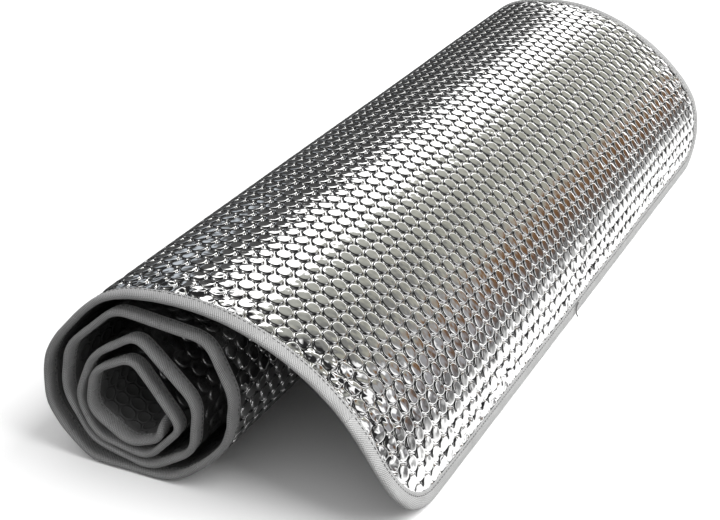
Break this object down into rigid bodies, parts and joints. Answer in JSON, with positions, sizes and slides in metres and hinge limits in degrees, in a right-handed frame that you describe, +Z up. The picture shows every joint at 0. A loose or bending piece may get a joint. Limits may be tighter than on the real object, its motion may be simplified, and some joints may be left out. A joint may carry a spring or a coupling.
{
  "type": "rolled sleeping pad",
  "caption": "Reflective foil-faced foam sleeping pad with a taped edge, loosely rolled with its free end laid over the roll; folds along parallel lines so it can unroll flat.",
  "frame": {"origin": "on the ground, at the middle of the footprint of the rolled pad", "axes": "+Y along the roll, which is the pad's width, with the open end seen first at -Y; +X towards the free edge that lies on the ground; +Z up"},
  "size_m": [0.2164, 0.61, 0.1141],
  "materials": {
    "foil_laminate": "bright metallised film over round air bubbles on the outer face, charcoal film on the inner face",
    "edge_tape": "ribbed woven grey tape, machine stitched"
  },
  "bodies": {
    "outer_lap_stave_08": {"outer_lap_pad_panel_08": "foil_laminate", "outer_lap_edge_tape_08": "edge_tape"},
    "outer_lap_stave_01": {"outer_lap_pad_panel_01": "foil_laminate", "outer_lap_edge_tape_01": "edge_tape"},
    "outer_lap_stave_02": {"outer_lap_pad_panel_02": "foil_laminate", "outer_lap_edge_tape_02": "edge_tape"},
    "outer_lap_stave_03": {"outer_lap_pad_panel_03": "foil_laminate", "outer_lap_edge_tape_03": "edge_tape"},
    "outer_lap_stave_04": {"outer_lap_pad_panel_04": "foil_laminate", "outer_lap_edge_tape_04": "edge_tape"},
    "outer_lap_stave_05": {"outer_lap_pad_panel_05": "foil_laminate", "outer_lap_edge_tape_05": "edge_tape"},
    "outer_lap_stave_06": {"outer_lap_pad_panel_06": "foil_laminate", "outer_lap_edge_tape_06": "edge_tape"},
    "outer_lap_stave_07": {"outer_lap_pad_panel_07": "foil_laminate", "outer_lap_edge_tape_07": "edge_tape"},
    "second_lap_stave_09": {"second_lap_pad_panel_09": "foil_laminate", "second_lap_edge_tape_09": "edge_tape"},
    "second_lap_stave_10": {"second_lap_pad_panel_10": "foil_laminate", "second_lap_edge_tape_10": "edge_tape"},
    "second_lap_stave_11": {"second_lap_pad_panel_11": "foil_laminate", "second_lap_edge_tape_11": "edge_tape"},
    "second_lap_stave_12": {"second_lap_pad_panel_12": "foil_laminate", "second_lap_edge_tape_12": "edge_tape"},
    "second_lap_stave_13": {"second_lap_pad_panel_13": "foil_laminate", "second_lap_edge_tape_13": "edge_tape"},
    "second_lap_stave_14": {"second_lap_pad_panel_14": "foil_laminate", "second_lap_edge_tape_14": "edge_tape"},
    "second_lap_stave_15": {"second_lap_pad_panel_15": "foil_laminate", "second_lap_edge_tape_15": "edge_tape"},
    "second_lap_stave_16": {"second_lap_pad_panel_16": "foil_laminate", "second_lap_edge_tape_16": "edge_tape"},
    "third_lap_stave_17": {"third_lap_pad_panel_17": "foil_laminate", "third_lap_edge_tape_17": "edge_tape"},
    "third_lap_stave_18": {"third_lap_pad_panel_18": "foil_laminate", "third_lap_edge_tape_18": "edge_tape"},
    "third_lap_stave_19": {"third_lap_pad_panel_19": "foil_laminate", "third_lap_edge_tape_19": "edge_tape"},
    "third_lap_stave_20": {"third_lap_pad_panel_20": "foil_laminate", "third_lap_edge_tape_20": "edge_tape"},
    "third_lap_stave_21": {"third_lap_pad_panel_21": "foil_laminate", "third_lap_edge_tape_21": "edge_tape"},
    "third_lap_stave_22": {"third_lap_pad_panel_22": "foil_laminate", "third_lap_edge_tape_22": "edge_tape"},
    "third_lap_stave_23": {"third_lap_pad_panel_23": "foil_laminate", "third_lap_edge_tape_23": "edge_tape"},
    "inner_lap_stave_24": {"inner_lap_pad_panel_24": "foil_laminate", "inner_lap_edge_tape_24": "edge_tape"},
    "inner_lap_stave_25": {"inner_lap_pad_panel_25": "foil_laminate", "inner_lap_edge_tape_25": "edge_tape"},
    "inner_lap_stave_26": {"inner_lap_pad_panel_26": "foil_laminate", "inner_lap_edge_tape_26": "edge_tape"},
    "inner_lap_stave_27": {"inner_lap_pad_panel_27": "foil_laminate", "inner_lap_edge_tape_27": "edge_tape"},
    "inner_lap_stave_28": {"inner_lap_pad_panel_28": "foil_laminate", "inner_lap_edge_tape_28": "edge_tape"},
    "inner_lap_stave_29": {"inner_lap_pad_panel_29": "foil_laminate", "inner_lap_edge_tape_29": "edge_tape"},
    "inner_lap_stave_30": {"inner_lap_pad_panel_30": "foil_laminate", "inner_lap_edge_tape_30": "edge_tape"}
  },
  "joints": [
    {"name": "fold_01", "type": "hinge", "parent": "outer_lap_stave_02", "child": "outer_lap_stave_01", "pos_m": [0.09788, 0, 0.049], "axis": [0, -1, 0], "range_deg": [0, 29.28]},
    {"name": "fold_02", "type": "hinge", "parent": "outer_lap_stave_03", "child": "outer_lap_stave_02", "pos_m": [0.06178, 0, 0.09], "axis": [0, -1, 0], "range_deg": [0, 26.02]},
    {"name": "fold_03", "type": "hinge", "parent": "outer_lap_stave_04", "child": "outer_lap_stave_03", "pos_m": [0.00178, 0, 0.115], "axis": [0, -1, 0], "range_deg": [0, 27.98]},
    {"name": "fold_04", "type": "hinge", "parent": "outer_lap_stave_05", "child": "outer_lap_stave_04", "pos_m": [-0.06222, 0, 0.109], "axis": [0, -1, 0], "range_deg": [0, 37.38]},
    {"name": "fold_05", "type": "hinge", "parent": "outer_lap_stave_06", "child": "outer_lap_stave_05", "pos_m": [-0.10432, 0, 0.0701], "axis": [0, -1, 0], "range_deg": [0, 41.3]},
    {"name": "fold_06", "type": "hinge", "parent": "outer_lap_stave_07", "child": "outer_lap_stave_06", "pos_m": [-0.10872, 0, 0.028], "axis": [0, -1, 0], "range_deg": [0, 51.47]},
    {"name": "fold_07", "type": "hinge", "parent": "outer_lap_stave_08", "child": "outer_lap_stave_07", "pos_m": [-0.08022, 0, 0], "axis": [0, -1, 0], "range_deg": [0, 44.49]},
    {"name": "fold_08", "type": "hinge", "parent": "outer_lap_stave_08", "child": "second_lap_stave_09", "pos_m": [-0.02922, 0, 0], "axis": [0, 1, 0], "range_deg": [0, 42.28]},
    {"name": "fold_09", "type": "hinge", "parent": "second_lap_stave_09", "child": "second_lap_stave_10", "pos_m": [0.00718, 0, 0.0331], "axis": [0, 1, 0], "range_deg": [0, 32.61]},
    {"name": "fold_10", "type": "hinge", "parent": "second_lap_stave_10", "child": "second_lap_stave_11", "pos_m": [0.01498, 0, 0.062], "axis": [0, 1, 0], "range_deg": [0, 38.96]},
    {"name": "fold_11", "type": "hinge", "parent": "second_lap_stave_11", "child": "second_lap_stave_12", "pos_m": [0.00008, 0, 0.0957], "axis": [0, 1, 0], "range_deg": [0, 60.46]},
    {"name": "fold_12", "type": "hinge", "parent": "second_lap_stave_12", "child": "second_lap_stave_13", "pos_m": [-0.05912, 0, 0.1016], "axis": [0, 1, 0], "range_deg": [0, 47.73]},
    {"name": "fold_13", "type": "hinge", "parent": "second_lap_stave_13", "child": "second_lap_stave_14", "pos_m": [-0.09262, 0, 0.0714], "axis": [0, 1, 0], "range_deg": [0, 38.09]},
    {"name": "fold_14", "type": "hinge", "parent": "second_lap_stave_14", "child": "second_lap_stave_15", "pos_m": [-0.09772, 0, 0.0421], "axis": [0, 1, 0], "range_deg": [0, 40.32]},
    {"name": "fold_15", "type": "hinge", "parent": "second_lap_stave_15", "child": "second_lap_stave_16", "pos_m": [-0.08032, 0, 0.0125], "axis": [0, 1, 0], "range_deg": [0, 46.39]},
    {"name": "fold_16", "type": "hinge", "parent": "second_lap_stave_16", "child": "third_lap_stave_17", "pos_m": [-0.04182, 0, 0.0035], "axis": [0, 1, 0], "range_deg": [0, 44.83]},
    {"name": "fold_17", "type": "hinge", "parent": "third_lap_stave_17", "child": "third_lap_stave_18", "pos_m": [-0.01232, 0, 0.0217], "axis": [0, 1, 0], "range_deg": [0, 51.57]},
    {"name": "fold_18", "type": "hinge", "parent": "third_lap_stave_18", "child": "third_lap_stave_19", "pos_m": [-0.00842, 0, 0.0546], "axis": [0, 1, 0], "range_deg": [0, 53.76]},
    {"name": "fold_19", "type": "hinge", "parent": "third_lap_stave_19", "child": "third_lap_stave_20", "pos_m": [-0.04542, 0, 0.0891], "axis": [0, 1, 0], "range_deg": [0, 75.28]},
    {"name": "fold_20", "type": "hinge", "parent": "third_lap_stave_20", "child": "third_lap_stave_21", "pos_m": [-0.07692, 0, 0.0692], "axis": [0, 1, 0], "range_deg": [0, 35.22]},
    {"name": "fold_21", "type": "hinge", "parent": "third_lap_stave_21", "child": "third_lap_stave_22", "pos_m": [-0.08922, 0, 0.0395], "axis": [0, 1, 0], "range_deg": [0, 49.16]},
    {"name": "fold_22", "type": "hinge", "parent": "third_lap_stave_22", "child": "third_lap_stave_23", "pos_m": [-0.07742, 0, 0.016], "axis": [0, 1, 0], "range_deg": [0, 53]},
    {"name": "fold_23", "type": "hinge", "parent": "third_lap_stave_23", "child": "inner_lap_stave_24", "pos_m": [-0.04232, 0, 0.0096], "axis": [0, 1, 0], "range_deg": [0, 57.25]},
    {"name": "fold_24", "type": "hinge", "parent": "inner_lap_stave_24", "child": "inner_lap_stave_25", "pos_m": [-0.01772, 0, 0.0359], "axis": [0, 1, 0], "range_deg": [0, 81.48]},
    {"name": "fold_25", "type": "hinge", "parent": "inner_lap_stave_25", "child": "inner_lap_stave_26", "pos_m": [-0.04862, 0, 0.0749], "axis": [0, 1, 0], "range_deg": [0, 79.13]},
    {"name": "fold_26", "type": "hinge", "parent": "inner_lap_stave_26", "child": "inner_lap_stave_27", "pos_m": [-0.07722, 0, 0.06], "axis": [0, 1, 0], "range_deg": [0, 52.31]},
    {"name": "fold_27", "type": "hinge", "parent": "inner_lap_stave_27", "child": "inner_lap_stave_28", "pos_m": [-0.08212, 0, 0.0327], "axis": [0, 1, 0], "range_deg": [0, 67.84]},
    {"name": "fold_28", "type": "hinge", "parent": "inner_lap_stave_28", "child": "inner_lap_stave_29", "pos_m": [-0.05432, 0, 0.0151], "axis": [0, 1, 0], "range_deg": [0, 55.21]},
    {"name": "fold_29", "type": "hinge", "parent": "inner_lap_stave_29", "child": "inner_lap_stave_30", "pos_m": [-0.03322, 0, 0.024], "axis": [0, 1, 0], "range_deg": [0, 57.35]}
  ],
  "couplings": [
    {"joint": "fold_01", "follows": "fold_08", "ratio": 0.69243},
    {"joint": "fold_02", "follows": "fold_08", "ratio": 0.61532},
    {"joint": "fold_03", "follows": "fold_08", "ratio": 0.66165},
    {"joint": "fold_04", "follows": "fold_08", "ratio": 0.88412},
    {"joint": "fold_05", "follows": "fold_08", "ratio": 0.97669},
    {"joint": "fold_06", "follows": "fold_08", "ratio": 1.2174},
    {"joint": "fold_07", "follows": "fold_08", "ratio": 1.0523},
    {"joint": "fold_09", "follows": "fold_08", "ratio": 0.77136},
    {"joint": "fold_10", "follows": "fold_08", "ratio": 0.92135},
    {"joint": "fold_11", "follows": "fold_08", "ratio": 1.4299},
    {"joint": "fold_12", "follows": "fold_08", "ratio": 1.1288},
    {"joint": "fold_13", "follows": "fold_08", "ratio": 0.9009},
    {"joint": "fold_14", "follows": "fold_08", "ratio": 0.95367},
    {"joint": "fold_15", "follows": "fold_08", "ratio": 1.0973},
    {"joint": "fold_16", "follows": "fold_08", "ratio": 1.0603},
    {"joint": "fold_17", "follows": "fold_08", "ratio": 1.2196},
    {"joint": "fold_18", "follows": "fold_08", "ratio": 1.2715},
    {"joint": "fold_19", "follows": "fold_08", "ratio": 1.7804},
    {"joint": "fold_20", "follows": "fold_08", "ratio": 0.83301},
    {"joint": "fold_21", "follows": "fold_08", "ratio": 1.1627},
    {"joint": "fold_22", "follows": "fold_08", "ratio": 1.2536},
    {"joint": "fold_23", "follows": "fold_08", "ratio": 1.3539},
    {"joint": "fold_24", "follows": "fold_08", "ratio": 1.927},
    {"joint": "fold_25", "follows": "fold_08", "ratio": 1.8715},
    {"joint": "fold_26", "follows": "fold_08", "ratio": 1.2371},
    {"joint": "fold_27", "follows": "fold_08", "ratio": 1.6044},
    {"joint": "fold_28", "follows": "fold_08", "ratio": 1.3057},
    {"joint": "fold_29", "follows": "fold_08", "ratio": 1.3563}
  ]
}
